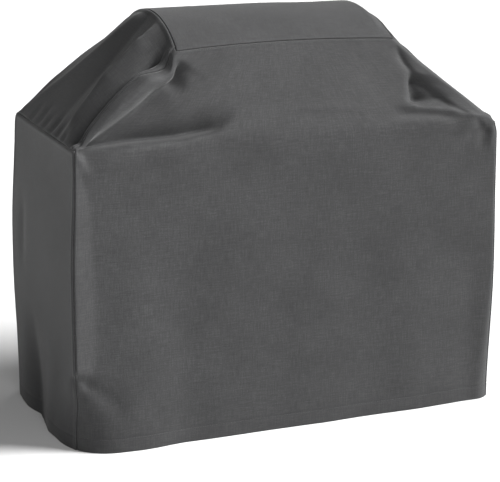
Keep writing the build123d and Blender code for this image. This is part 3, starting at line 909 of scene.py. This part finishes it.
# where each tape lies, as the lines it follows on the one or two grids that its seam joins, and its length
ENDS = {"left": 0, "right": -1, "front": 0, "back": -1}
BAND_SEAM = {"front": BAND_COLUMNS, "back": -1 - BAND_COLUMNS}
TAPES = {}
for face in ("front", "back"):
    for side in ("left", "right"):
        corner = [(f"{face}_panel", 1, ENDS[side]), (f"{side}_side_panel", 1, ENDS[face])]
        TAPES[f"{face}_{side}_corner_tape"] = (corner, SHOULDER - HEM_HEIGHT)
        TAPES[f"{face}_{side}_slope_tape"] = ([(f"{side}_slope_panel", 1, BAND_SEAM[face])], SLOPE_LENGTH)
for side in ("left", "right"):
    lid_end = [(f"{side}_slope_panel", 0, -1), ("top_panel", 1, ENDS[side])]
    TAPES[f"{side}_lid_end_tape"] = (lid_end, 2 * LID_ARC)
for face in ("front", "back"):
    lid_seam = [(f"{face}_panel", 0, -1), ("top_panel", 0, ENDS[face])]
    TAPES[f"{face}_lid_seam_tape"] = (lid_seam, 2 * HALF_LID)
for side in ("left", "right"):
    shelf = [(f"{side}_side_panel", 0, -1), (f"{side}_slope_panel", 0, 0)]
    TAPES[f"{side}_shelf_tape"] = (shelf, 2 * HALF_DEPTH)
taken = np.zeros(len(sheet.faces), bool)
for name, (lines, length) in TAPES.items():
    mine = np.concatenate([near_line(*line) for line in lines])
    if "corner" in name:
        mine = mine[(PLACES[mine, 2] > HEM_HEIGHT) & (PLACES[mine, 2] < SHOULDER)]
    mine = mine[~taken[mine]]
    taken[mine] = True
    piece = layer(f"{name}_woven", mine, SEAM_TAPE, TAPE_CLOTH, LAYER_DEPTH)
    declare(piece, name)

for side in ("left", "right"):
    for end in ("front", "rear"):
        mine, flat = inside_box(f"{side}_side_panel", f"{side}_{end}_strap_patch", 1)
        piece = layer(f"{side}_{end}_patch_cloth", mine, CLOTH, PATCH_CLOTH, LAYER_DEPTH)
        declare(piece, f"{side}_{end}_strap_patch")

mine, flat = inside_box("back_panel", "care_label", 0)
piece = layer("care_label_satin", mine, SATIN, LABEL_CLOTH, LAYER_DEPTH + LABEL_GAP)
declare(piece, "care_label")


# ---------------------------------------------------------------- stitches

STITCH, PITCH = 3.2 * MM, 5 * MM
# rings of one stitch: place along it as a share of its length, radius and height above the cloth in mm
STITCH_RINGS = ((-0.5, 0.18, -0.35), (-0.34, 0.42, 0.1), (0, 0.45, 0.2), (0.34, 0.42, 0.1),
                (0.5, 0.18, -0.35))
STITCH_SIDES = 6


def unit(vectors):
    """The same directions at length 1."""
    return vectors / np.linalg.norm(vectors, axis=1, keepdims=True)


def stitch_faces():
    """Faces of one stitch: four-sided ones between its rings, and an end face at either end."""
    last = STITCH_SIDES * (len(STITCH_RINGS) - 1)
    faces = []
    for ring in range(0, last, STITCH_SIDES):
        for k in range(STITCH_SIDES):
            a, b = ring + k, ring + (k + 1) % STITCH_SIDES
            faces.append((a, a + STITCH_SIDES, b + STITCH_SIDES, b))
    faces.append(tuple(range(STITCH_SIDES)))
    faces.append(tuple(last + k for k in reversed(range(STITCH_SIDES))))
    return faces


def stitch_row(name, line):
    """A row of topstitching on the cloth along a line of the sheet's points, each stitch sunk at its ends."""
    p, n = sheet.points[line], NORMALS[line]
    along = np.concatenate([[0], np.cumsum(np.linalg.norm(np.diff(p, axis=0), axis=1))])
    middles = np.arange(PITCH, along[-1] - PITCH / 2, PITCH)

    def sample(values, at):
        return np.stack([np.interp(at, along, values[:, i]) for i in range(3)], 1)

    forward = unit(sample(p, middles + STITCH / 2) - sample(p, middles - STITCH / 2))
    up = sample(n, middles)
    up = unit(up - forward * (up * forward).sum(1, keepdims=True))
    across = np.cross(up, forward)
    ring_points = []
    for place, radius, lift in STITCH_RINGS:
        centre = sample(p, middles) + forward * place * STITCH
        for k in range(STITCH_SIDES):
            angle = 2 * math.pi * k / STITCH_SIDES
            out, rise = radius * MM * math.cos(angle), (lift + radius * math.sin(angle)) * MM
            ring_points.append(centre + across * out + up * rise)
    points = np.stack(ring_points, 1)
    one = stitch_faces()
    starts = range(0, points.shape[0] * points.shape[1], points.shape[1])
    faces = [tuple(start + corner for corner in face) for start in starts for face in one]
    mesh = bpy.data.meshes.new(name)
    mesh.from_pydata(points.reshape(-1, 3).tolist(), [], faces)
    mesh.uv_layers.new(name="cloth")
    mesh.polygons.foreach_set("use_smooth", np.ones(len(mesh.polygons), bool))
    made = bpy.data.objects.new(name, mesh)
    bpy.context.scene.collection.objects.link(made)
    made.data.materials.append(THREAD)
    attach(made, "cover")


def nearest_level(height):
    """Number of the line of points nearest to a height."""
    return int(np.argmin(np.abs(LEVELS - height)))


hem_row = nearest_level(HEM_HEIGHT - HEM_STITCH)
for face in ("front", "back"):
    panel = sheet.lines(f"{face}_panel")
    stitch_row(f"{face}_hem_stitches", panel[hem_row])
    stitch_row(f"{face}_lid_seam_stitches", panel[-3])
for side in ("left", "right"):
    panel, slope = sheet.lines(f"{side}_side_panel"), sheet.lines(f"{side}_slope_panel")
    stitch_row(f"{side}_hem_stitches", panel[hem_row])
    stitch_row(f"{side}_shelf_stitches", panel[-3, 4:-4])
    stitch_row(f"{side}_lid_end_stitches", slope[-3, BAND_COLUMNS:-BAND_COLUMNS])
    stitch_row(f"front_{side}_corner_stitches", panel[:, 2])
    stitch_row(f"back_{side}_corner_stitches", panel[:, -3])
    stitch_row(f"front_{side}_slope_stitches", slope[:, BAND_COLUMNS + 2])
    stitch_row(f"back_{side}_slope_stitches", slope[:, -3 - BAND_COLUMNS])


# ---------------------------------------------------------------- straps and buckles

STRAP, LOOP = 1.4 * MM, 2.5 * MM   # webbing's thickness, and the radius of its middle round a bar
STRAP_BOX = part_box("left_front_strap")
STRAP_LOW, STRAP_HIGH = STRAP_BOX[0].z, STRAP_BOX[1].z
PLUG_BAR = STRAP_BOX[1].y - LOOP - STRAP / 2
SOCKET_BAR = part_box("left_rear_strap")[0].y + LOOP + STRAP / 2
SOCKET_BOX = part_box("left_buckle_socket")
BUCKLE_X = -(SOCKET_BOX[0].x + SOCKET_BOX[1].x) / 2  # the buckle's middle, out from the cover's middle
STRAP_LEVEL = (STRAP_LOW + STRAP_HIGH) / 2
SEWN_FROM, SEWN_TO = 192 * MM, 232 * MM  # part of each strap that is sewn to its patch, along Y
STITCH_ROOM = 0.4 * MM                   # between a patch and its strap
SEWN_DEPTH = LAYER_DEPTH + PATCH_CLOTH + STITCH_ROOM + STRAP / 2
FRONT_STRAIGHT, REAR_STRAIGHT = 60 * MM, 90 * MM  # from here on the straps run straight to their bars
TAIL_LENGTH, TAIL_HANG = 130 * MM, 5 * MM         # the front strap's loose tail, and how far its end hangs in
FOLD_FROM, FOLD_TO = 50 * MM, 70 * MM             # part of the rear strap that is sewn back on itself
FOLD_OUT = 0.9 * MM                               # its middle's place, out from the buckle's middle


def inner_face(side, y):
    """How far out the inside of the side panel's cloth is at the strap's level, for places along Y."""
    lines = sheet.lines(f"{side}_side_panel")
    found = []
    for level in (STRAP_LOW, STRAP_LEVEL, STRAP_HIGH):
        row = lines[nearest_level(level)]
        p = sheet.points[row] - NORMALS[row] * SEWN_DEPTH
        found.append(np.interp(y, p[:, 1], np.abs(p[:, 0])))
    return np.min(found, axis=0)


def run(a, b, step=4 * MM):
    """Points from a to b, both (distance out, place along Y)."""
    steps = max(2, int(math.dist(a, b) / step))
    return [tuple(np.array(a) + (np.array(b) - a) * k / steps) for k in range(steps + 1)]


def half_turn(bar, toward):
    """Half a turn round a buckle's bar, on its side towards 1 or -1 along Y."""
    angles = np.linspace(0, math.pi, 13)
    return [(BUCKLE_X + LOOP * math.cos(t), bar + toward * LOOP * math.sin(t)) for t in angles]


def webbing(name, side, path, clear=True):
    """Flat strap on edge, and its length, along a path of (distance out, place along Y) that keeps clear
    of the cover's cloth."""
    path = np.array(path)
    keep = np.concatenate([[True], np.linalg.norm(np.diff(path, axis=0), axis=1) > 0.2 * MM])
    path = path[keep]
    if clear:
        path[:, 0] = np.minimum(path[:, 0], inner_face(side, path[:, 1]))
    along = np.concatenate([[0], np.cumsum(np.linalg.norm(np.diff(path, axis=0), axis=1))])
    heights = np.linspace(STRAP_LOW, STRAP_HIGH, 7)
    columns = len(heights)
    points = [(OUT[side] * x, y, z) for x, y in path for z in heights]
    faces, uv = [], []
    for i in range(len(path) - 1):
        for j in range(columns - 1):
            a = i * columns + j
            quad = (a, a + 1, a + columns + 1, a + columns)
            faces.append(quad)
            uv += [(heights[corner % columns], along[corner // columns]) for corner in quad]
    mesh = bpy.data.meshes.new(name)
    mesh.from_pydata(points, [], faces)
    mesh.uv_layers.new(name="cloth").data.foreach_set("uv", np.array(uv, np.float32).reshape(-1))
    return finish_cloth(name, mesh, WEBBING, STRAP, 0), float(along[-1])


def front_strap_run(side):
    """From its patch, where it is sewn to the cover, to the plug's bar."""
    sewn, free = (HALF_WIDTH, -SEWN_FROM), (BUCKLE_X + LOOP, -FRONT_STRAIGHT)
    path = run((HALF_WIDTH, -SEWN_TO), sewn) + run(sewn, free) + run(free, (BUCKLE_X + LOOP, PLUG_BAR))
    piece, length = webbing(f"{side}_front_strap_run", side, path)
    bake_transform(piece)
    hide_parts(f"{side}_front_strap")


def front_strap_tail(side):
    """Round the plug's bar and back, with a loose end."""
    inside = BUCKLE_X - LOOP
    tail = run((inside, PLUG_BAR), (inside, PLUG_BAR - TAIL_LENGTH))
    path = half_turn(PLUG_BAR, 1) + [(x - TAIL_HANG * ease(-y, 40 * MM, 140 * MM), y) for x, y in tail]
    piece, length = webbing(f"{side}_front_strap_tail", side, path, clear=False)
    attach(piece, f"{side}_plug")
    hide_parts(f"{side}_front_strap")


def rear_strap(side):
    """From its patch round the socket's bar, and sewn back on itself."""
    sewn, free = (HALF_WIDTH, SEWN_FROM), (BUCKLE_X + LOOP, REAR_STRAIGHT)
    folded = BUCKLE_X + FOLD_OUT
    path = run((HALF_WIDTH, SEWN_TO), sewn) + run(sewn, free) + run(free, (BUCKLE_X + LOOP, SOCKET_BAR))
    path += half_turn(SOCKET_BAR, -1) + run((BUCKLE_X - LOOP, SOCKET_BAR), (folded, FOLD_FROM), 2 * MM)
    path += run((folded, FOLD_FROM), (folded, FOLD_TO))
    piece, length = webbing(f"{side}_rear_strap_webbing", side, path)
    declare(piece, f"{side}_rear_strap")


OUT = {"left": -1, "right": 1}
for side in OUT:
    front_strap_run(side)
    front_strap_tail(side)
    rear_strap(side)
    for name in ("buckle_socket", "buckle_plug", "buckle_upper_arm", "buckle_lower_arm"):
        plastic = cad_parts[f"{side}_{name}"]
        plastic.data.materials.clear()
        plastic.data.materials.append(ACETAL)
